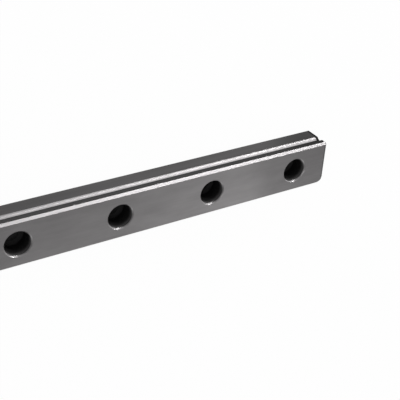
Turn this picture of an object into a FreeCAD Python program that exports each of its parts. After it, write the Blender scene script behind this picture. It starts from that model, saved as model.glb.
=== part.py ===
import FreeCAD, Part
import math
import os

import Sketcher

# Rail of a miniature profile rail guide: one bar of hardened steel with a gothic arch raceway in each side.
# X runs along the rail, Y across it and Z up, with the origin at the middle of the base. Sizes are in mm.

NODE = "guide_rail"

SIZES = (
    ("rail_length", 220.0, "end face to end face"),
    ("rail_width", 12.0, "side face to side face"),
    ("rail_height", 8.0, "base to top face"),
    ("top_chamfer", 0.55, "leg of the 45 degree chamfer along each top edge"),
    ("base_chamfer", 0.4, "leg of the 45 degree chamfer along each base edge"),
    ("end_chamfer", 0.55, "leg of the chamfer around each end face"),
    ("corner_radius", 1.8, "rounding of the upright edge between the +X end and the -Y side"),
    ("raceway_drop", 2.8, "top face down to the point of the raceway's arch"),
    ("raceway_depth", 0.65, "side face in to the point of the raceway's arch"),
    ("raceway_radius", 1.24, "radius of the two arcs that make the arch"),
    ("arch_offset", 0.035, "height of each arc's centre past the point of the arch"),
    ("lip_radius", 0.08, "rounding where the raceway meets the side face"),
    ("hole_pitch", 25.0, "one fixing hole to the next"),
    ("end_distance", 10.0, "least distance from an end face to a fixing hole"),
    ("screw_bore", 3.5, "diameter of the clearance hole for the screw"),
    ("head_bore", 6.0, "diameter of the counterbore for the screw's head"),
    ("head_depth", 4.5, "top face down to the floor of the counterbore"),
    ("mouth_chamfer", 0.4, "leg of the chamfer on the counterbore's rim"),
    ("underside_chamfer", 0.25, "leg of the chamfer where the screw hole leaves the base"),
    ("cut_margin", 1.0, "how far the profiles of the cuts reach past the rail's faces"),
)

# The rail has as many holes as its length holds at the pitch, and they are centred on its length. The slack,
# a share of the pitch, keeps the last hole when the length is an exact fit.
HOLE_SLACK = 0.001
HOLE_COUNT = f"(floor((sizes.rail_length - 2 * sizes.end_distance) / sizes.hole_pitch + {HOLE_SLACK}) + 1)"
FIRST_HOLE = f"({HOLE_COUNT} - 1) * sizes.hole_pitch / 2"

# Sketcher's numbers for its horizontal axis, which also holds the origin point, and for an edge's points.
AXIS = -1
START = 1
END = 2
CENTRE = 3

QUARTER_TURN = 90.0
NEAR = 1e-4
LEAST_CHANGE = 0.01


def make_sheet(doc):
    """List the driving sizes in a spreadsheet and give each value its name as an alias."""
    sheet = doc.addObject("Spreadsheet::Sheet", "sizes")
    for row, (alias, value, meaning) in enumerate(SIZES, start=1):
        sheet.set(f"A{row}", alias)
        sheet.set(f"B{row}", str(value))
        sheet.set(f"C{row}", meaning)
        sheet.setAlias(f"B{row}", alias)
    doc.recompute()
    return sheet


def origin_plane(body, role):
    """Return the body's own origin plane with the given role."""
    return next(plane for plane in body.Origin.OriginFeatures if plane.Role == role)


def add_sketch(body, name, role):
    """Start a sketch on one of the body's origin planes."""
    sketch = body.newObject("Sketcher::SketchObject", name)
    sketch.AttachmentSupport = [(origin_plane(body, role), "")]
    sketch.MapMode = "FlatFace"
    return sketch


def add_line(sketch, start, end):
    """Draw a straight edge between two points of the sketch."""
    line = Part.LineSegment(FreeCAD.Vector(*start, 0), FreeCAD.Vector(*end, 0))
    return sketch.addGeometry(line, False)


def add_arc(sketch, centre, radius, start, end):
    """Draw an anticlockwise arc about a centre between the directions of two points."""
    circle = Part.Circle(FreeCAD.Vector(*centre, 0), FreeCAD.Vector(0, 0, 1), radius)
    angles = [math.atan2(point[1] - centre[1], point[0] - centre[0]) for point in (start, end)]
    return sketch.addGeometry(Part.ArcOfCircle(circle, *angles), False)


def join(sketch, *pairs):
    """Make the end points of neighbouring edges coincide."""
    for first, first_point, second, second_point in pairs:
        sketch.addConstraint(Sketcher.Constraint("Coincident", first, first_point, second, second_point))


def align(sketch, kind, *edges):
    """Keep straight edges horizontal or vertical."""
    for edge in edges:
        sketch.addConstraint(Sketcher.Constraint(kind, edge))


def dimension(sketch, name, constraint, expression):
    """Add a dimension under a name and bind it to the driving sizes."""
    index = sketch.addConstraint(constraint)
    sketch.renameConstraint(index, name)
    sketch.setExpression(f"Constraints.{name}", expression)


def span(sketch, name, kind, start, end, value, expression):
    """Dimension the horizontal or vertical distance between two points of the sketch."""
    dimension(sketch, name, Sketcher.Constraint(kind, *start, *end, value), expression)


def draw_half_section(body, sheet):
    """Draw the +Y half of the rail's section, from the middle of the base round to the middle of the top."""
    side = sheet.rail_width / 2
    top = sheet.rail_height
    point = (side - sheet.raceway_depth, top - sheet.raceway_drop)
    reach = math.sqrt(sheet.raceway_radius**2 - sheet.arch_offset**2)
    lower_centre = (point[0] + reach, point[1] + sheet.arch_offset)
    upper_centre = (point[0] + reach, point[1] - sheet.arch_offset)
    rise = math.sqrt(sheet.raceway_radius**2 - (lower_centre[0] - side)**2)
    lower_lip = (side, lower_centre[1] - rise)
    upper_lip = (side, upper_centre[1] + rise)

    sketch = add_sketch(body, "half_section", "YZ_Plane")
    base = add_line(sketch, (0, 0), (side - sheet.base_chamfer, 0))
    base_bevel = add_line(sketch, (side - sheet.base_chamfer, 0), (side, sheet.base_chamfer))
    lower_land = add_line(sketch, (side, sheet.base_chamfer), lower_lip)
    lower_arc = add_arc(sketch, lower_centre, sheet.raceway_radius, point, lower_lip)
    upper_arc = add_arc(sketch, upper_centre, sheet.raceway_radius, upper_lip, point)
    upper_land = add_line(sketch, upper_lip, (side, top - sheet.top_chamfer))
    top_bevel = add_line(sketch, (side, top - sheet.top_chamfer), (side - sheet.top_chamfer, top))
    top_edge = add_line(sketch, (side - sheet.top_chamfer, top), (0, top))
    middle = add_line(sketch, (0, top), (0, 0))

    join(sketch, (base, START, AXIS, START), (base, END, base_bevel, START),
         (base_bevel, END, lower_land, START), (lower_land, END, lower_arc, END),
         (lower_arc, START, upper_arc, END), (upper_arc, START, upper_land, START),
         (upper_land, END, top_bevel, START), (top_bevel, END, top_edge, START),
         (top_edge, END, middle, START), (middle, END, base, START))
    align(sketch, "Horizontal", base, top_edge)
    align(sketch, "Vertical", lower_land, upper_land, middle)
    sketch.addConstraint(Sketcher.Constraint("Vertical", lower_land, END, upper_land, START))
    sketch.addConstraint(Sketcher.Constraint("Equal", lower_arc, upper_arc))

    span(sketch, "half_width", "DistanceX", (AXIS, START), (lower_land, START), side, "sizes.rail_width / 2")
    span(sketch, "height", "DistanceY", (middle, END), (middle, START), top, "sizes.rail_height")
    for name, bevel in (("base_chamfer", base_bevel), ("top_chamfer", top_bevel)):
        left, right = (START, END) if bevel == base_bevel else (END, START)
        leg = getattr(sheet, name)
        span(sketch, f"{name}_across", "DistanceX", (bevel, left), (bevel, right), leg, f"sizes.{name}")
        span(sketch, f"{name}_up", "DistanceY", (bevel, START), (bevel, END), leg, f"sizes.{name}")
    span(sketch, "raceway_depth", "DistanceX", (lower_arc, START), (lower_arc, END), sheet.raceway_depth,
         "sizes.raceway_depth")
    span(sketch, "raceway_drop", "DistanceY", (lower_arc, START), (top_edge, START), sheet.raceway_drop,
         "sizes.raceway_drop")
    dimension(sketch, "raceway_radius", Sketcher.Constraint("Radius", lower_arc, sheet.raceway_radius),
              "sizes.raceway_radius")
    span(sketch, "lower_arc_offset", "DistanceY", (lower_arc, START), (lower_arc, CENTRE), sheet.arch_offset,
         "sizes.arch_offset")
    span(sketch, "upper_arc_offset", "DistanceY", (upper_arc, CENTRE), (upper_arc, END), sheet.arch_offset,
         "sizes.arch_offset")
    return sketch


def extrude_rail(doc, body, sheet):
    """Extrude the half section to both sides of the origin and mirror it into the whole bar."""
    half = body.newObject("PartDesign::Pad", "half_bar")
    half.Profile = draw_half_section(body, sheet)
    half.SideType = "Symmetric"
    half.setExpression("Length", "sizes.rail_length")
    doc.recompute()
    whole = body.newObject("PartDesign::Mirrored", "whole_bar")
    whole.Originals = [half]
    whole.MirrorPlane = (origin_plane(body, "XZ_Plane"), [""])
    whole.Refine = True
    body.Tip = whole
    doc.recompute()
    expect_change(half, whole)
    return whole


def round_lips(doc, body, sheet, bar):
    """Round the four long edges where the raceways open into the side faces."""
    side = sheet.rail_width / 2
    top_bevel = sheet.rail_height - sheet.top_chamfer
    lips = []
    for number, edge in enumerate(bar.Shape.Edges, start=1):
        box = edge.BoundBox
        on_side = box.YLength < NEAR and abs(abs(box.Center.y) - side) < NEAR
        between_bevels = sheet.base_chamfer + NEAR < box.ZMin and box.ZMax < top_bevel - NEAR
        if on_side and between_bevels and box.ZLength < NEAR:
            lips.append(f"Edge{number}")
    rounding = body.newObject("PartDesign::Fillet", "raceway_lips")
    rounding.Base = (bar, lips)
    rounding.setExpression("Radius", "sizes.lip_radius")
    body.Tip = rounding
    doc.recompute()
    expect_change(bar, rounding)
    return rounding


def chamfer_ends(doc, body, sheet, bar):
    """Chamfer the whole outline of both end faces, raceways included."""
    ends = []
    for number, face in enumerate(bar.Shape.Faces, start=1):
        box = face.BoundBox
        if box.XLength < NEAR and abs(abs(box.Center.x) - sheet.rail_length / 2) < NEAR:
            ends.append(f"Face{number}")
    chamfer = body.newObject("PartDesign::Chamfer", "end_chamfers")
    chamfer.Base = (bar, ends)
    chamfer.setExpression("Size", "sizes.end_chamfer")
    body.Tip = chamfer
    doc.recompute()
    expect_change(bar, chamfer)
    return chamfer


def draw_corner_profile(body, sheet):
    """Draw what the rounding takes off, in a plane through the rounding's upright axis.

    The inner outline is the rounded edge with the top and base chamfers that follow it round. Each chamfer
    runs on past its face by as much again.
    """
    top = sheet.rail_height
    radius = sheet.corner_radius
    far = radius + sheet.cut_margin
    upper = top + sheet.top_chamfer
    lower = -sheet.base_chamfer
    top_inner = (radius - 2 * sheet.top_chamfer, upper)
    base_inner = (radius - 2 * sheet.base_chamfer, lower)

    sketch = add_sketch(body, "corner_profile", "XZ_Plane")
    sketch.setExpression("AttachmentOffset.Base.x", "sizes.rail_length / 2 - sizes.corner_radius")
    sketch.setExpression("AttachmentOffset.Base.z", "sizes.rail_width / 2 - sizes.corner_radius")
    base_bevel = add_line(sketch, base_inner, (radius, sheet.base_chamfer))
    upright = add_line(sketch, (radius, sheet.base_chamfer), (radius, top - sheet.top_chamfer))
    top_bevel = add_line(sketch, (radius, top - sheet.top_chamfer), top_inner)
    above = add_line(sketch, top_inner, (far, upper))
    outside = add_line(sketch, (far, upper), (far, lower))
    below = add_line(sketch, (far, lower), base_inner)

    edges = (base_bevel, upright, top_bevel, above, outside, below)
    join(sketch, *((edge, END, following, START) for edge, following in zip(edges, edges[1:] + edges[:1])))
    align(sketch, "Vertical", upright, outside)
    align(sketch, "Horizontal", above, below)

    span(sketch, "corner_radius", "DistanceX", (AXIS, START), (upright, START), radius, "sizes.corner_radius")
    span(sketch, "past_side", "DistanceX", (upright, START), (outside, END), sheet.cut_margin,
         "sizes.cut_margin")
    span(sketch, "below_base", "DistanceY", (outside, END), (AXIS, START), -lower, "sizes.base_chamfer")
    span(sketch, "above_top", "DistanceY", (AXIS, START), (outside, START), upper,
         "sizes.rail_height + sizes.top_chamfer")
    for name, bevel, outer, inner in (("base", base_bevel, END, START), ("top", top_bevel, START, END)):
        reach = 2 * getattr(sheet, f"{name}_chamfer")
        expression = f"2 * sizes.{name}_chamfer"
        span(sketch, f"{name}_bevel_across", "DistanceX", (bevel, inner), (bevel, outer), reach, expression)
        span(sketch, f"{name}_bevel_up", "DistanceY", (bevel, START), (bevel, END), reach, expression)
    return sketch


def round_corner(doc, body, sheet, bar):
    """Round the one upright edge that is rounder than the other three, with its chamfers."""
    sketch = draw_corner_profile(body, sheet)
    rounding = body.newObject("PartDesign::Groove", "rounded_corner")
    rounding.Profile = sketch
    rounding.ReferenceAxis = (sketch, ["V_Axis"])
    rounding.Angle = QUARTER_TURN
    rounding.Reversed = True
    body.Tip = rounding
    doc.recompute()
    expect_change(bar, rounding)
    return rounding


def draw_hole_profile(body, sheet, first_hole):
    """Draw half of a fixing hole's outline: rim chamfer, counterbore, screw hole and underside chamfer."""
    top = sheet.rail_height
    margin = sheet.cut_margin
    floor = top - sheet.head_depth
    axis = -first_hole
    head = axis + sheet.head_bore / 2
    screw = axis + sheet.screw_bore / 2
    rim = (head + sheet.mouth_chamfer + margin, top + margin)
    exit_rim = (screw + sheet.underside_chamfer + margin, -margin)

    sketch = add_sketch(body, "hole_profile", "XZ_Plane")
    axis_line = add_line(sketch, (axis, -margin), (axis, top + margin))
    cap = add_line(sketch, (axis, top + margin), rim)
    rim_bevel = add_line(sketch, rim, (head, top - sheet.mouth_chamfer))
    head_wall = add_line(sketch, (head, top - sheet.mouth_chamfer), (head, floor))
    head_seat = add_line(sketch, (head, floor), (screw, floor))
    screw_wall = add_line(sketch, (screw, floor), (screw, sheet.underside_chamfer))
    exit_bevel = add_line(sketch, (screw, sheet.underside_chamfer), exit_rim)
    bottom = add_line(sketch, exit_rim, (axis, -margin))

    edges = (axis_line, cap, rim_bevel, head_wall, head_seat, screw_wall, exit_bevel, bottom)
    join(sketch, *((edge, END, following, START) for edge, following in zip(edges, edges[1:] + edges[:1])))
    align(sketch, "Vertical", axis_line, head_wall, screw_wall)
    align(sketch, "Horizontal", cap, head_seat, bottom)

    span(sketch, "first_hole", "DistanceX", (axis_line, START), (AXIS, START), first_hole, FIRST_HOLE)
    span(sketch, "below_base", "DistanceY", (axis_line, START), (AXIS, START), margin, "sizes.cut_margin")
    span(sketch, "above_top", "DistanceY", (AXIS, START), (axis_line, END), top + margin,
         "sizes.rail_height + sizes.cut_margin")
    span(sketch, "head_radius", "DistanceX", (axis_line, END), (head_wall, START), sheet.head_bore / 2,
         "sizes.head_bore / 2")
    span(sketch, "screw_radius", "DistanceX", (axis_line, START), (screw_wall, END), sheet.screw_bore / 2,
         "sizes.screw_bore / 2")
    span(sketch, "head_depth", "DistanceY", (head_seat, START), (cap, START), sheet.head_depth + margin,
         "sizes.head_depth + sizes.cut_margin")
    span(sketch, "rim_across", "DistanceX", (rim_bevel, END), (rim_bevel, START),
         sheet.mouth_chamfer + margin, "sizes.mouth_chamfer + sizes.cut_margin")
    span(sketch, "rim_down", "DistanceY", (rim_bevel, END), (rim_bevel, START),
         sheet.mouth_chamfer + margin, "sizes.mouth_chamfer + sizes.cut_margin")
    span(sketch, "exit_across", "DistanceX", (exit_bevel, START), (exit_bevel, END),
         sheet.underside_chamfer + margin, "sizes.underside_chamfer + sizes.cut_margin")
    span(sketch, "exit_down", "DistanceY", (exit_bevel, END), (exit_bevel, START),
         sheet.underside_chamfer + margin, "sizes.underside_chamfer + sizes.cut_margin")
    return sketch, axis_line


def cut_fixing_holes(doc, body, sheet, bar):
    """Turn the hole's outline about its own axis at the -X end and repeat the cut along the rail."""
    spare = sheet.rail_length - 2 * sheet.end_distance
    first_hole = math.floor(spare / sheet.hole_pitch + HOLE_SLACK) * sheet.hole_pitch / 2
    sketch, axis_line = draw_hole_profile(body, sheet, first_hole)
    hole = body.newObject("PartDesign::Groove", "fixing_hole")
    hole.Profile = sketch
    hole.ReferenceAxis = (sketch, [f"Edge{axis_line + 1}"])
    body.Tip = hole
    doc.recompute()
    expect_change(bar, hole)
    row = body.newObject("PartDesign::LinearPattern", "fixing_hole_row")
    row.Originals = [hole]
    row.Direction = (sketch, ["H_Axis"])
    row.Mode = "Spacing"
    row.setExpression("Offset", "sizes.hole_pitch")
    row.setExpression("Occurrences", HOLE_COUNT)
    body.Tip = row
    doc.recompute()
    return row


def expect_change(before, after):
    """Stop when a feature has left the volume as it was."""
    if abs(after.Shape.Volume - before.Shape.Volume) < LEAST_CHANGE:
        raise ValueError(f"{after.Label} changed nothing")


def check_document(doc, body):
    """Stop when an object has failed or the finished shape is empty or invalid."""
    for item in doc.Objects:
        failed = {"Invalid", "Error"} & set(item.State)
        if failed:
            raise ValueError(f"{item.Label} is {', '.join(sorted(failed))}")
    if body.Shape.isNull() or not body.Shape.isValid():
        raise ValueError(f"{body.Label} has no valid shape")


def main():
    doc = FreeCAD.newDocument("rail")
    sheet = make_sheet(doc)
    body = doc.addObject("PartDesign::Body", "rail_body")
    body.Label = NODE
    body.Placement = FreeCAD.Placement()
    bar = extrude_rail(doc, body, sheet)
    bar = chamfer_ends(doc, body, sheet, bar)
    bar = round_lips(doc, body, sheet, bar)
    bar = round_corner(doc, body, sheet, bar)
    cut_fixing_holes(doc, body, sheet, bar)
    check_document(doc, body)
    box = body.Shape.BoundBox
    print(f"{body.Label}: {box.XLength:.3f} x {box.YLength:.3f} x {box.ZLength:.3f} mm,"
          f" {body.Shape.Volume / 1000:.3f} cm3, {len(body.Shape.Faces)} faces")
    os.makedirs("parts", exist_ok=True)
    body.Shape.exportStep(f"parts/{NODE}.step")


main()
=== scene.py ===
# %% [markdown]
# # A miniature linear guide rail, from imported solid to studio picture
#
# The rail is one bar of hardened steel. Its top carries a row of counterbored fixing holes, and each side
# carries one raceway, a groove in which the balls of a carriage run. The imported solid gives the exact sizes,
# but its curves are coarse facets. Painting it would be quick, and every hole would look like a polygon, so
# this lesson models a fine skin at the same sizes and lets it stand for the solid.

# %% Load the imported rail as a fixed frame
import math

import bpy
from mathutils import Matrix, Quaternion, Vector


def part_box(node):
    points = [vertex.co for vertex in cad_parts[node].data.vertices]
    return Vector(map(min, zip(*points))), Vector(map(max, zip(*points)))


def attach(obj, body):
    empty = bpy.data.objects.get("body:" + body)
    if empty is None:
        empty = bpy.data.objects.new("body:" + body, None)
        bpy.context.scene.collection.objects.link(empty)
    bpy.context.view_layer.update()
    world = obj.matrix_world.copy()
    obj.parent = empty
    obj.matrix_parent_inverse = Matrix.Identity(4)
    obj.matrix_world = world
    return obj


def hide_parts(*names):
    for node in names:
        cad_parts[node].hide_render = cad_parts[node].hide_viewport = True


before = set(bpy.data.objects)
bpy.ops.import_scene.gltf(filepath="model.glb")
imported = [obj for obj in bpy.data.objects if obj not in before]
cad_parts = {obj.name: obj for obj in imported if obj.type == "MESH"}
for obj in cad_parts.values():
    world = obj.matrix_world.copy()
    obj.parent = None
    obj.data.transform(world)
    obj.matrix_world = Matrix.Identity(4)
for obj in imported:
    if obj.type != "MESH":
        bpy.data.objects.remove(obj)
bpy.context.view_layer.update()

MM = 0.001
low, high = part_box("guide_rail")
print("packed rail, mm:", [round(side / MM, 3) for side in high - low])

# %% [markdown]
# ## Camera
#
# The picture looks down on the rail from one side and along it, with the camera rolled so that the rail
# climbs gently to the right. Turning a camera by eye is possible. Here its place and its three axes were
# solved from the hole centres and the long edges, so they are written down as vectors.

# %% Place the camera
FRAME_PIXELS = 400
FOCAL_PIXELS = 870.5
SENSOR = 36.0
NEAREST_SEEN = 10 * MM
CAMERA_PLACE = Vector((-26.3765, 110.3056, 160.6554)) * MM
CAMERA_UP = Vector((0.2315, 0.8503, -0.4727))
CAMERA_BACK = Vector((-0.46, 0.5238, 0.717))

back = CAMERA_BACK.normalized()
up = (CAMERA_UP - CAMERA_UP.dot(back) * back).normalized()
right = up.cross(back)
camera_data = bpy.data.cameras.new("camera")
camera_data.sensor_width = SENSOR
camera_data.lens = FOCAL_PIXELS * SENSOR / FRAME_PIXELS
camera_data.clip_start = NEAREST_SEEN
camera = bpy.data.objects.new("camera", camera_data)
bpy.context.scene.collection.objects.link(camera)
pose = Matrix((right, up, back)).transposed().to_4x4()
pose.translation = CAMERA_PLACE
camera.matrix_world = pose
bpy.context.scene.camera = camera
print("camera lens, mm:", round(camera_data.lens, 2))

# %% [markdown]
# ## The bar
#
# The real bar is drawn to shape and then ground on every face. A box would be the wrong end result but is
# the right start: its long edges are bevelled to the drawn chamfers. It starts short by the two end
# chamfers, which are grown next. A face is square to an axis where its normal has more than SQUARE_ON of it.

# %% Sizes of the rail
LENGTH, WIDTH, HEIGHT = 220 * MM, 12 * MM, 8 * MM
TOP_CHAMFER, BASE_CHAMFER, END_CHAMFER = 0.55 * MM, 0.4 * MM, 0.55 * MM
NEAR = 0.001 * MM
SQUARE_ON = 0.9


def select_nothing():
    """Deselect every object, because operators act on all that is selected."""
    bpy.ops.object.select_all(action="DESELECT")


def select_faces(piece, test):
    """Select the faces of a piece that pass a test on their centre and normal, and count them."""
    bpy.ops.object.mode_set(mode="OBJECT")
    mesh = piece.data
    for part in (*mesh.vertices, *mesh.edges):
        part.select = False
    for face in mesh.polygons:
        face.select = test(face.center, face.normal)
    bpy.context.tool_settings.mesh_select_mode = (False, False, True)
    bpy.ops.object.mode_set(mode="EDIT")
    return sum(face.select for face in mesh.polygons)


def select_edges(piece, test):
    """Select the edges of a piece whose two ends pass a test, and count them."""
    bpy.ops.object.mode_set(mode="OBJECT")
    mesh = piece.data
    for part in (*mesh.vertices, *mesh.polygons):
        part.select = False
    for edge in mesh.edges:
        edge.select = test(*(mesh.vertices[index].co for index in edge.vertices))
    bpy.context.tool_settings.mesh_select_mode = (False, True, False)
    bpy.ops.object.mode_set(mode="EDIT")
    return sum(edge.select for edge in mesh.edges)


# %% Make the bar and bevel its long edges
select_nothing()
bpy.ops.mesh.primitive_cube_add(
    size=1, location=(0, 0, HEIGHT / 2), scale=(LENGTH - 2 * END_CHAMFER, WIDTH, HEIGHT))
rail = bpy.context.object
rail.name = rail.data.name = "ground_rail"
bpy.ops.object.transform_apply(location=True, rotation=True, scale=True)
for level, leg in ((HEIGHT, TOP_CHAMFER), (0, BASE_CHAMFER)):
    count = select_edges(rail, lambda a, b: abs(a.z - level) < NEAR and abs(b.z - level) < NEAR
                         and abs(a.x - b.x) > LENGTH / 2)
    bpy.ops.mesh.bevel(offset=leg, offset_type="OFFSET", segments=1, affect="EDGES")
    print("long edges bevelled at height", round(level / MM, 2), "mm:", count)
bpy.ops.object.mode_set(mode="OBJECT")

# %% [markdown]
# ## The chamfered ends
#
# The bar is cut to length and the edges of the cut are broken all the way round. Another bevel would do. An
# inset of the end face that also pushes it outwards by the same amount gives the same 45 degree chamfer
# in one step, and brings the bar to its full length.

# %% Grow the end chamfers
count = select_faces(rail, lambda centre, normal: abs(normal.x) > SQUARE_ON)
bpy.ops.mesh.inset(thickness=END_CHAMFER, depth=END_CHAMFER, use_even_offset=True)
bpy.ops.object.mode_set(mode="OBJECT")
print("end faces:", count, "length, mm:", round(rail.dimensions.x / MM, 3))

# %% [markdown]
# ## Turned tools
#
# The raceways are ground with a formed wheel and the holes are cut with a stepped drill. Both tools are
# turned shapes, so one helper makes them as a lathe would: a circle is extruded ring by ring and resized
# at each step. Stacks of cylinders and cones would do the same with more seams.

# %% Helpers for turning and cutting
def turn(name, rings, segments):
    """Turn a closed tool about Z from (radius, height) rings, lowest first."""
    select_nothing()
    bpy.ops.mesh.primitive_circle_add(
        vertices=segments, radius=rings[0][0], fill_type="NGON", location=(0, 0, rings[0][1]))
    tool = bpy.context.object
    tool.name = name
    bpy.ops.object.transform_apply(location=True, rotation=True, scale=True)
    bpy.ops.object.mode_set(mode="EDIT")
    bpy.ops.mesh.select_all(action="SELECT")
    for (radius, level), (next_radius, next_level) in zip(rings, rings[1:]):
        bpy.ops.mesh.extrude_region_move(TRANSFORM_OT_translate={"value": (0, 0, next_level - level)})
        grow = next_radius / radius
        bpy.ops.transform.resize(value=(grow, grow, 1), center_override=(0, 0, next_level))
    bpy.ops.mesh.select_all(action="SELECT")
    bpy.ops.mesh.normals_make_consistent(inside=False)
    bpy.ops.object.mode_set(mode="OBJECT")
    return tool


def apply_modifier(piece, kind, **settings):
    """Add a modifier to a piece, set it and apply it at once."""
    select_nothing()
    bpy.context.view_layer.objects.active = piece
    piece.select_set(True)
    modifier = piece.modifiers.new(kind.lower(), kind)
    for name, value in settings.items():
        setattr(modifier, name, value)
    bpy.ops.object.modifier_apply(modifier=modifier.name)


def combine(piece, operation, tool):
    """Cut or intersect a piece with a tool and throw the tool away."""
    apply_modifier(piece, "BOOLEAN", operation=operation, object=tool, solver="EXACT")
    bpy.data.objects.remove(tool)
    print(piece.name, operation.lower() + ":", len(piece.data.polygons), "faces")


# %% [markdown]
# ## One rounded corner
#
# The photographed end has one upright corner that is rounder than the others, as if it had been stoned by
# hand, and its chamfers follow it round. Bevelling the edge would tangle with those chamfers. A block with
# a chamfered round bar taken out of it is the cutter that fits, and one boolean takes the corner off.

# %% Round the corner
CORNER_RADIUS = 1.8 * MM
CUT_MARGIN = 1 * MM
ARC_SEGMENTS = 128
corner = Vector((LENGTH / 2, -WIDTH / 2, HEIGHT / 2))
to_centre = Vector((-CORNER_RADIUS, CORNER_RADIUS, 0))
block_side = CORNER_RADIUS + CUT_MARGIN
select_nothing()
bpy.ops.mesh.primitive_cube_add(
    size=1, location=corner + to_centre * (1 - block_side / (2 * CORNER_RADIUS)),
    scale=(block_side, block_side, HEIGHT + TOP_CHAMFER))
block = bpy.context.object
bpy.ops.object.transform_apply(location=True, rotation=True, scale=True)
bar = turn("round_bar", (
    (CORNER_RADIUS - 2 * BASE_CHAMFER, -BASE_CHAMFER),
    (CORNER_RADIUS, BASE_CHAMFER),
    (CORNER_RADIUS, HEIGHT - TOP_CHAMFER),
    (CORNER_RADIUS - 2 * TOP_CHAMFER, HEIGHT + TOP_CHAMFER),
), ARC_SEGMENTS)
bar.location = (corner + to_centre).to_2d().to_3d()
bpy.ops.object.transform_apply(location=True, rotation=True, scale=True)
combine(block, "DIFFERENCE", bar)
combine(rail, "DIFFERENCE", block)

# %% [markdown]
# ## The raceways
#
# Each raceway is a gothic arch: two shallow arcs of slightly more than the ball's radius that meet in a
# point, so a ball touches both. The overlap of two long round bars has just that arch on it, and a boolean
# cuts it out of each side. The bars flare at their tips, which carries the end chamfer round the arch.

# %% Grind the two raceways
RACEWAY_DROP, RACEWAY_DEPTH, RACEWAY_RADIUS = 2.8 * MM, 0.65 * MM, 1.24 * MM
ARCH_OFFSET = 0.035 * MM
flare = END_CHAMFER + CUT_MARGIN
WHEEL_RINGS = (
    (RACEWAY_RADIUS + flare, -LENGTH / 2 - CUT_MARGIN),
    (RACEWAY_RADIUS, -LENGTH / 2 + END_CHAMFER),
    (RACEWAY_RADIUS, LENGTH / 2 - END_CHAMFER),
    (RACEWAY_RADIUS + flare, LENGTH / 2 + CUT_MARGIN),
)
arch_reach = math.sqrt(RACEWAY_RADIUS**2 - ARCH_OFFSET**2)
for side in (1, -1):
    wheels = []
    for shift in (1, -1):
        wheel = turn("wheel", WHEEL_RINGS, ARC_SEGMENTS)
        wheel.rotation_euler = (0, math.pi / 2, 0)
        wheel.location = (0, side * (WIDTH / 2 - RACEWAY_DEPTH + arch_reach),
                          HEIGHT - RACEWAY_DROP + shift * ARCH_OFFSET)
        bpy.ops.object.transform_apply(location=True, rotation=True, scale=True)
        wheels.append(wheel)
    combine(wheels[0], "INTERSECT", wheels[1])
    combine(rail, "DIFFERENCE", wheels[0])

# %% [markdown]
# ## The fixing holes
#
# Each hole has a counterbore that swallows the screw's head, a clearance hole below it and a broken edge
# at both mouths. They could be cut one by one. Here one drill is turned and copied at the pitch, and the
# whole set cuts at once.

# %% Drill the row of holes
HOLE_PITCH, HOLE_COUNT = 25 * MM, 9
SCREW_RADIUS, HEAD_RADIUS, HEAD_DEPTH = 1.75 * MM, 3 * MM, 4.5 * MM
MOUTH_CHAMFER, UNDERSIDE_CHAMFER = 0.4 * MM, 0.25 * MM
HOLE_SEGMENTS = 96
HOLES = [(place - (HOLE_COUNT - 1) / 2) * HOLE_PITCH for place in range(HOLE_COUNT)]
SEAT = HEIGHT - HEAD_DEPTH
drill = turn("drill", (
    (SCREW_RADIUS + UNDERSIDE_CHAMFER + CUT_MARGIN, -CUT_MARGIN),
    (SCREW_RADIUS, UNDERSIDE_CHAMFER),
    (SCREW_RADIUS, SEAT),
    (HEAD_RADIUS, SEAT),
    (HEAD_RADIUS, HEIGHT - MOUTH_CHAMFER),
    (HEAD_RADIUS + MOUTH_CHAMFER + CUT_MARGIN, HEIGHT + CUT_MARGIN),
), HOLE_SEGMENTS)
drills = [drill]
for place in HOLES[1:]:
    twin = drill.copy()
    twin.data = drill.data.copy()
    twin.data.transform(Matrix.Translation((place, 0, 0)))
    bpy.context.scene.collection.objects.link(twin)
    drills.append(twin)
drill.data.transform(Matrix.Translation((HOLES[0], 0, 0)))
select_nothing()
for tool in drills:
    tool.select_set(True)
bpy.context.view_layer.objects.active = drill
bpy.ops.object.join()
combine(rail, "DIFFERENCE", drill)

# %% [markdown]
# ## A nick in the edge
#
# The photographed rail has one small nick where something hard struck the outer edge of the top chamfer.
# Moving a few vertices would only bend the flat faces. A small ball pressed into the edge, half way between
# the directions of its two faces, leaves the round dent that a blow does.

# %% Press the nick
NICK_PLACE, NICK_RADIUS, NICK_DEPTH = 38.8 * MM, 0.36 * MM, 0.14 * MM
NICK_SEGMENTS = 48
HALF_WAY_UP = math.radians(22.5)
struck = Vector((NICK_PLACE, WIDTH / 2, HEIGHT - TOP_CHAMFER))
outward = Vector((0, math.cos(HALF_WAY_UP), math.sin(HALF_WAY_UP)))
select_nothing()
bpy.ops.mesh.primitive_uv_sphere_add(
    segments=NICK_SEGMENTS, ring_count=NICK_SEGMENTS // 2, radius=NICK_RADIUS,
    location=struck + outward * (NICK_RADIUS - NICK_DEPTH))
combine(rail, "DIFFERENCE", bpy.context.object)

# %% [markdown]
# ## Broken edges
#
# No ground part keeps a knife edge: a touch of the stone leaves a strip some hundredths of a millimetre
# wide that catches the light. The bevel modifier makes it on every edge that turns by more than the facets
# of the arcs do. Smooth shading alone would let these strips tilt the light on the wide flat faces, so the
# normals are weighted by the area of the faces, which keeps ground faces flat.

# %% Break the sharp edges
EDGE_BREAK = 0.05 * MM
SHARP_ANGLE = math.radians(25)
apply_modifier(rail, "BEVEL", width=EDGE_BREAK, segments=2, limit_method="ANGLE", angle_limit=SHARP_ANGLE)
bpy.ops.object.shade_smooth_by_angle(angle=SHARP_ANGLE)
apply_modifier(rail, "WEIGHTED_NORMAL", mode="FACE_AREA", keep_sharp=True)
mesh = rail.data
mesh.validate()
triangles = sum(len(face.vertices) - 2 for face in mesh.polygons)
print("rail:", len(mesh.vertices), "vertices,", triangles, "triangles")

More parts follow.
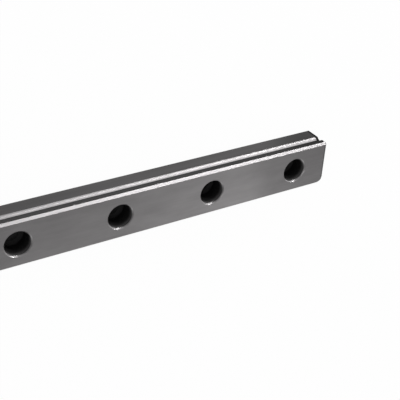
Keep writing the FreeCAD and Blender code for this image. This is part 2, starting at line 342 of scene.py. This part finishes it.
# %% [markdown]
# ## A small language for finishes
#
# A finish is a network of shader nodes. Placed one by one, the sums in it are hard to read, so a small
# class wraps a number socket and lets Python's own operators add the Math nodes.


# %% Wrap a number socket
class Value:
    """A number socket that takes part in plain arithmetic."""

    def __init__(self, finish, socket):
        self.finish = finish
        self.socket = socket

    def __add__(self, other):
        return self.finish.maths("ADD", self, other)

    def __radd__(self, other):
        return self.finish.maths("ADD", other, self)

    def __sub__(self, other):
        return self.finish.maths("SUBTRACT", self, other)

    def __rsub__(self, other):
        return self.finish.maths("SUBTRACT", other, self)

    def __mul__(self, other):
        return self.finish.maths("MULTIPLY", self, other)

    def __rmul__(self, other):
        return self.finish.maths("MULTIPLY", other, self)


# %% [markdown]
# ## The nodes of a finish
#
# Everything else that a finish needs is a node too: coordinates, noise, ramps, mixes and bump. One method
# adds any of them, with its settings first and then its sockets, and the short methods after it say in
# plain words what each node is for.


# %% Wrap the nodes of a material or the world
NOISE_ROUGHNESS = 0.55


class Finish:
    """The nodes of a material or of the world."""

    def __init__(self, owner):
        owner.use_nodes = True
        self.owner = owner
        self.tree = owner.node_tree
        self.shader = self.tree.nodes.get("Principled BSDF") or self.tree.nodes["Background"]

    def node(self, kind, settings, sockets, output):
        """Add a node: its settings first, then values or links on its sockets. Return one output."""
        made = self.tree.nodes.new(kind)
        for name, value in settings.items():
            setattr(made, name, value)
        self.feed(made, sockets)
        return Value(self, made.outputs[output])

    def feed(self, node, sockets):
        """Set the sockets of a node to plain values or link them."""
        for name, value in sockets.items():
            if isinstance(value, Value):
                self.tree.links.new(value.socket, node.inputs[name])
            else:
                node.inputs[name].default_value = value

    def maths(self, operation, *terms):
        """Apply a mathematical function to numbers or values."""
        return self.node("ShaderNodeMath", {"operation": operation}, dict(enumerate(terms)), 0)

    def coordinates(self, kind):
        """Three numbers: the place on the object in metres, or the direction in the sky."""
        vector = self.node("ShaderNodeTexCoord", {}, {}, kind)
        split = self.node("ShaderNodeSeparateXYZ", {}, {"Vector": vector}, "X").socket.node
        return [Value(self, split.outputs[axis]) for axis in "XYZ"]

    def ramp(self, value, start, end):
        """A smooth step from 0 at the start to 1 at the end."""
        return self.node("ShaderNodeMapRange", {"interpolation_type": "SMOOTHSTEP"},
                         {"Value": value, "From Min": start, "From Max": end}, "Result")

    def noise(self, frequencies, detail):
        """Noise around 0, at most a half either way, with a frequency per metre along each axis."""
        vector = self.node("ShaderNodeTexCoord", {}, {}, "Object")
        vector = self.node("ShaderNodeMapping", {}, {"Vector": vector, "Scale": frequencies}, "Vector")
        return self.node("ShaderNodeTexNoise", {}, {"Vector": vector, "Scale": 1.0, "Detail": detail,
                                                    "Roughness": NOISE_ROUGHNESS}, "Fac") - 0.5

    def blend(self, factor, first, second):
        """Mix two colours."""
        return self.node("ShaderNodeMix", {"data_type": "RGBA"}, {0: factor, 6: first, 7: second}, 2)

    def bump(self, height, distance, strength):
        """Turn a height in units of distance into a normal."""
        return self.node("ShaderNodeBump", {}, {"Height": height, "Distance": distance, "Strength": strength},
                         "Normal")


# %% [markdown]
# ## Greys
#
# Hardened steel is not quite neutral: a touch more red and blue than green makes it a little rosy. The
# lamps, the floor and the sky stay neutral. A tinted lamp would do it in one place, but it would tint the
# white background too.


# %% Mix the greys
STEEL, NEUTRAL = (1.03, 1.0, 1.01), (1, 1, 1)


def grey(level, tint=STEEL):
    """A grey of a given level and tint, with full alpha."""
    return (*(level * share for share in tint), 1)


# %% [markdown]
# ## Ground steel
#
# Grinding leaves fine lines along the rail, some darker and some brighter, over a faint cloudiness from
# the wheel's passes. Image scans of steel would tile on so long a bar. Noise that is stretched along the
# rail gives lines of any length and width instead, and drives colour, roughness and bump together.


# %% Build a ground finish
LENGTHWISE, CROSSWISE = (14 * MM, 0, 0), (0, 6 * MM, 0)
BROAD_LONGER, BROAD_WIDER = 10 / 3, 25 / 3
CLOUDS_PER_METRE = (110, 260, 260)
LINE_GLOSS, LINE_DEPTH, LINE_BUMP = 0.12, 0.1, 0.35


def ground(name, level, roughness, contrast, grain=LENGTHWISE, line_width=0.14 * MM, cloud=0.05,
           edge_tint=1.0, painted_light_steps=(), painted_light_lean=0.0):
    """Make steel with grinding lines.

    The grain is how far a line runs along X, Y and Z. Each step gives two distances from the rail's middle,
    in millimetres, between which the grey level changes smoothly, and the share of it that is left beyond.
    The steps paint light and shade along the rail. The lean is the share by which the level grows for each
    millimetre towards -Y, a painted brightening across the face.
    """
    finish = Finish(bpy.data.materials.new(name))
    fine = finish.noise([1 / max(length, line_width) for length in grain], detail=4.0)
    broad = finish.noise(
        [1 / max(BROAD_LONGER * length, BROAD_WIDER * line_width) for length in grain], detail=2.0)
    clouds = finish.noise(CLOUDS_PER_METRE, detail=3.0)
    along, across, _ = finish.coordinates("Object")
    tone = (0.5 + (fine + broad) * contrast + clouds * cloud) * (1 - across * (painted_light_lean / MM))
    from_middle = finish.maths("ABSOLUTE", along)
    for start, end, left in painted_light_steps:
        tone = tone * (1 - finish.ramp(from_middle, start * MM, end * MM) * (1 - left))
    finish.feed(finish.shader, {
        "Base Color": finish.blend(tone, grey(0), grey(2 * level)),
        "Metallic": 1.0,
        "Roughness": roughness + fine * LINE_GLOSS,
        "Specular Tint": grey(edge_tint, NEUTRAL),
        "Normal": finish.bump(fine, line_width * LINE_DEPTH, LINE_BUMP),
    })
    print("finish", name)
    return finish.owner


# %% [markdown]
# ## Scale in the holes
#
# The holes are drilled before the bar is hardened, and only the outside is ground afterwards. They keep a
# nearly black skin of scale of their own. Its grey is darker deep down and brighter towards the mouth, partly
# rubbed there and partly painted shade deeper in the hole. Only the rim is worn through to bare metal. The
# tool marks run round each hole's own axis, so they are noise over the distance from it, where a picture of
# rings would have to be placed on every hole.


# %% Build a finish of dark scale
MARKS_PER_METRE, SPOTS_PER_METRE = 45000, (900, 900, 900)
WORN_AND_LIT_SHARE, SPOT_CONTRAST, MARK_CONTRAST = 0.8, 0.2, 0.1
SPOT_GLOSS, SCALE_SHEEN, MARK_DEPTH = 0.06, 0.1, 0.01 * MM


def scale(name, deep, worn_and_lit, roughness, metallic, wear_and_shade_from, wear_and_shade_to, relief):
    """Make a dark scale with turning marks that follow the distance from the nearest hole's axis.

    The grey level rises from the deep level to the mouth's level between two depths below the top face:
    partly rubbing towards the mouth and partly painted shade deeper down.
    """
    finish = Finish(bpy.data.materials.new(name))
    along, across, height = finish.coordinates("Object")
    offset = finish.maths("WRAP", along, HOLE_PITCH / 2, -HOLE_PITCH / 2)
    radius = finish.maths("SQRT", offset * offset + across * across)
    marks = finish.node("ShaderNodeTexNoise", {"noise_dimensions": "1D"},
                        {"W": radius + height, "Scale": MARKS_PER_METRE, "Detail": 2.0}, "Fac") - 0.5
    spots = finish.noise(SPOTS_PER_METRE, detail=3.0)
    wear_and_shade = finish.ramp(height, HEIGHT - wear_and_shade_from, HEIGHT - wear_and_shade_to)
    tone = wear_and_shade * (WORN_AND_LIT_SHARE + spots * SPOT_CONTRAST) + marks * MARK_CONTRAST
    finish.feed(finish.shader, {
        "Base Color": finish.blend(tone, grey(deep), grey(worn_and_lit)),
        "Metallic": metallic,
        "Roughness": roughness + spots * SPOT_GLOSS,
        "Specular IOR Level": SCALE_SHEEN,
        "Normal": finish.bump(marks, MARK_DEPTH, relief),
    })
    print("finish", name)
    return finish.owner


# %% [markdown]
# ## The finishes of the rail
#
# The levels are read off the picture with the lamps in place, so one steel is given lighter and darker greys:
# the darker sides, lands, raceway root and end edges are painted shade, and the brighter chamfer and raceway
# flanks are a painted highlight. Brightness also changes slowly along the rail, and its last millimetres are
# darker, both painted light and shade. More lamps could follow that, at the cost of the plain light. The steps
# in the finishes paint it with few numbers, and are the same towards both ends.

# %% List the finishes
# Painted shade: the sides and lands darken over the last quarter millimetre before each end chamfer.
PAINTED_END_SHADE = (108.7, 108.95, 0.15)
FINISHES = [
    # The top's steps paint a pool of lamp light along it and darker ends, and its lean paints it brighter
    # towards -Y.
    ground(
        "ground_top", level=0.26, roughness=0.35, contrast=0.07, cloud=0.18, edge_tint=0.6, painted_light_lean=0.014,
        painted_light_steps=((20, 26, 1.06), (76, 83, 1.08), (85, 94, 0.82), (109.0, 109.3, 0.6))),
    # The sides and the upper lands are the top's steel painted darker, as painted shade, and their steps paint
    # the light falling off towards the ends.
    ground(
        "ground_side", level=0.087, roughness=0.36, contrast=0.16, cloud=0.1, edge_tint=0.68,
        painted_light_steps=((30, 45, 1.17), (93, 105, 0.56), PAINTED_END_SHADE)),
    ground(
        "upper_land", level=0.06, roughness=0.36, contrast=0.06, edge_tint=0.68,
        painted_light_steps=((60, 88, 0.8), (93, 105, 0.5), PAINTED_END_SHADE)),
    # The chamfer and the raceway flanks are the same steel painted brighter, as a painted highlight, with
    # steps that paint it along the rail.
    ground(
        "chamfer_painted_highlight", level=0.54, roughness=0.45, contrast=0.04, line_width=0.08 * MM, edge_tint=0.2,
        painted_light_steps=((40, 106, 0.78),)),
    ground(
        "raceway", level=0.41, roughness=0.45, contrast=0.04, line_width=0.07 * MM, edge_tint=0.5,
        painted_light_steps=((20, 80, 1.25), (92, 106, 0.9), (108.6, 108.9, 0.05))),
    # The root of the raceway is painted dark, as painted shade in the groove.
    ground(
        "raceway_root", level=0.055, roughness=0.3, contrast=0.06, line_width=0.07 * MM, edge_tint=0.68,
        painted_light_steps=((93, 105, 0.55), (108.6, 108.9, 0.1))),
    ground("base", level=0.3, roughness=0.34, contrast=0.12, line_width=0.2 * MM),
    # The end chamfers and the base chamfer strips are the same steel painted nearly black, as painted shade.
    ground("end_edge", level=0.03, roughness=0.4, contrast=0.1, edge_tint=0.1),
    ground("cut_end", level=0.2, roughness=0.36, contrast=0.1, grain=CROSSWISE, line_width=0.12 * MM),
    # In the holes the dark scale is the steel's own, and its darkening deeper down is painted shade.
    scale(
        "bored", deep=0.016, worn_and_lit=0.1, roughness=0.6, metallic=0.0,
        wear_and_shade_from=1.7 * MM, wear_and_shade_to=MOUTH_CHAMFER, relief=0.3),
    scale(
        "rim", deep=0.015, worn_and_lit=0.43, roughness=0.31, metallic=1.0,
        wear_and_shade_from=1.1 * MOUTH_CHAMFER, wear_and_shade_to=0.2 * MOUTH_CHAMFER, relief=0.05),
]

# %% [markdown]
# ## Which finish goes where
#
# Every surface of the bar comes from its own operation: the top is ground, the raceways are lapped, the
# holes are drilled. Each face of the skin is told apart by its place and normal and takes that finish, whose
# grey also carries painted light: the flanks of the arch are painted bright as a painted highlight, and its
# root is painted dark as painted shade.


# %% Sort the faces by the operation that made them
# Raceway faces whose normal climbs more than this slope take the flanks' painted highlight, the rest the
# root's painted shade.
PAINTED_ROOT_SHADE_SLOPE = math.sin(math.radians(13))
LIP = 0.07 * MM


def operation_of(centre, normal):
    """Name the finish of a face."""
    nearest = min(HOLES, key=lambda place: abs(place - centre.x))
    from_axis = math.hypot(centre.x - nearest, centre.y)
    if from_axis < HEAD_RADIUS + MOUTH_CHAMFER + EDGE_BREAK and NEAR < centre.z < HEIGHT - NEAR:
        return "rim" if centre.z > HEIGHT - MOUTH_CHAMFER - NEAR else "bored"
    # The nick takes the chamfer's finish, with its painted highlight.
    if (centre - struck).length < NICK_RADIUS:
        return "chamfer_painted_highlight"
    if abs(centre.x) > LENGTH / 2 - END_CHAMFER - EDGE_BREAK:
        return "cut_end" if abs(normal.x) > SQUARE_ON else "end_edge"
    if centre.z > HEIGHT - NEAR:
        return "ground_top"
    # The top chamfer takes its painted highlight.
    if centre.z > HEIGHT - TOP_CHAMFER - EDGE_BREAK:
        return "chamfer_painted_highlight"
    # The raceway's flanks take a painted highlight and its root painted shade.
    in_arch = abs(centre.y) < WIDTH / 2 - LIP and abs(centre.z - HEIGHT + RACEWAY_DROP) < RACEWAY_RADIUS
    if in_arch and centre.x < LENGTH / 2 - CORNER_RADIUS * (centre.y < 0):
        return "raceway" if abs(normal.z) > PAINTED_ROOT_SHADE_SLOPE else "raceway_root"
    # The base chamfer strips take the end edges' painted shade.
    if centre.z < BASE_CHAMFER + EDGE_BREAK:
        return "base" if normal.z < -SQUARE_ON else "end_edge"
    # The lands and the sides take the darker greys, which are painted shade.
    return "upper_land" if centre.z > HEIGHT - RACEWAY_DROP else "ground_side"


for finish in FINISHES:
    mesh.materials.append(finish)
names = [finish.name for finish in FINISHES]
tally = dict.fromkeys(names, 0)
for face in mesh.polygons:
    name = operation_of(face.center, face.normal)
    face.material_index = names.index(name)
    tally[name] += 1
print(tally)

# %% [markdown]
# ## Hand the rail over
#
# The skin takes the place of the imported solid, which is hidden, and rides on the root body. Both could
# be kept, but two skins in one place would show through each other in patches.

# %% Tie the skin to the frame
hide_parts("guide_rail")
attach(rail, "root")

# %% [markdown]
# ## The floor
#
# Polished steel shows what is around it, so the studio is part of the finish. The floor is a pale sheet
# that runs to the horizon. More light would whiten it and spoil the steel, so most of the white that the
# camera and the mirroring steel see is its own, and the rest still takes the rail's shadow.

# %% Lay the floor
FLOOR_SIZE, OWN_WHITE = 60.0, 0.97
select_nothing()
bpy.ops.mesh.primitive_plane_add(size=FLOOR_SIZE)
floor = bpy.context.object
floor.name = floor.data.name = "floor"
paper = Finish(bpy.data.materials.new("floor_paper"))
paper.feed(paper.shader, {"Base Color": grey(0.9, NEUTRAL), "Roughness": 0.95, "Specular IOR Level": 0.0})
camera_ray, glossy_ray, transmission_ray = (
    paper.node("ShaderNodeLightPath", {}, {}, name)
    for name in ("Is Camera Ray", "Is Glossy Ray", "Is Transmission Ray"))
seen = paper.maths("MINIMUM", camera_ray + glossy_ray + transmission_ray, 1.0)
glow = paper.node("ShaderNodeEmission", {}, {"Color": grey(1.0, NEUTRAL), "Strength": 1.0}, 0)
lit = Value(paper, paper.shader.outputs[0])
lift = paper.node("ShaderNodeMixShader", {}, {0: seen * OWN_WHITE, 1: lit, 2: glow}, 0)
paper.feed(paper.tree.nodes["Material Output"], {"Surface": lift})
floor.data.materials.append(paper.owner)
print("floor side, m:", FLOOR_SIZE)

# %% [markdown]
# ## The sky
#
# The sky is white near the horizon and dimmer overhead, and dimmer still towards -X, where only the rims of
# the holes mirror it. A picture of a studio would do, but ramps over the direction are all that it needs.

# %% Paint the sky
SKY_LEVEL, SIDE_LEVEL = 0.45, 0.2
HORIZON_TOP, SKY_START = 0.26, 0.36
SIDE_START, SIDE_END = -0.1, -0.5
world = bpy.data.worlds.new("studio_sky")
bpy.context.scene.world = world
sky = Finish(world)
sideways, _, upwards = sky.coordinates("Generated")
dimming = (1 - SKY_LEVEL) + sky.ramp(sideways, SIDE_START, SIDE_END) * (SKY_LEVEL - SIDE_LEVEL)
strength = 1 - sky.ramp(upwards, HORIZON_TOP, SKY_START) * dimming
sky.feed(sky.shader, {"Color": grey(1.0, NEUTRAL), "Strength": strength})
print("sky strength overhead:", SKY_LEVEL, "and towards -X:", SIDE_LEVEL)

# %% [markdown]
# ## The lamps
#
# A narrow strip stands where the chamfer and the raceway mirror it, a small box where the top face does,
# and a wide one hangs overhead. Each is given by the point that it faces, its direction from there and its
# brightness, which stays the same when its size or distance changes.


# %% Hang the lamps
def softbox(name, aim, direction, distance, size, radiance, roll=0.0):
    """Place a rectangular lamp that faces a point and has a given brightness per area.

    The aim is in millimetres, the distance and the size in metres and the roll in degrees.
    """
    data = bpy.data.lights.new(name, "AREA")
    data.shape = "RECTANGLE"
    data.size, data.size_y = size
    data.energy = radiance * math.pi * size[0] * size[1]
    lamp = bpy.data.objects.new(name, data)
    bpy.context.scene.collection.objects.link(lamp)
    direction = Vector(direction).normalized()
    facing = direction.to_track_quat("Z", "Y") @ Quaternion((0, 0, 1), math.radians(roll))
    lamp.location = Vector(aim) * MM + direction * distance
    lamp.rotation_euler = facing.to_euler()
    lamp.visible_camera = False
    print("lamp", name, "power, W:", round(data.energy, 3))


softbox("strip_softbox", aim=(60, 6, 8), direction=(0.559, 0.666, 0.455), distance=0.35,
        size=(0.42, 0.02), radiance=19.0, roll=-19)
softbox("top_softbox", aim=(73, 0, 8), direction=(0.49, -0.51, 0.70), distance=0.22,
        size=(0.14, 0.05), radiance=0.6, roll=36)
softbox("overhead_softbox", aim=(0, 0, 8), direction=(-0.15, -0.05, 1.0), distance=0.6,
        size=(0.45, 0.45), radiance=1.3)

# %% [markdown]
# ## Colours
#
# The picture is kept as it is lit. A film-like view would soften the white of the background.

# %% Leave the colours as they are lit
bpy.context.scene.view_settings.view_transform = "Standard"
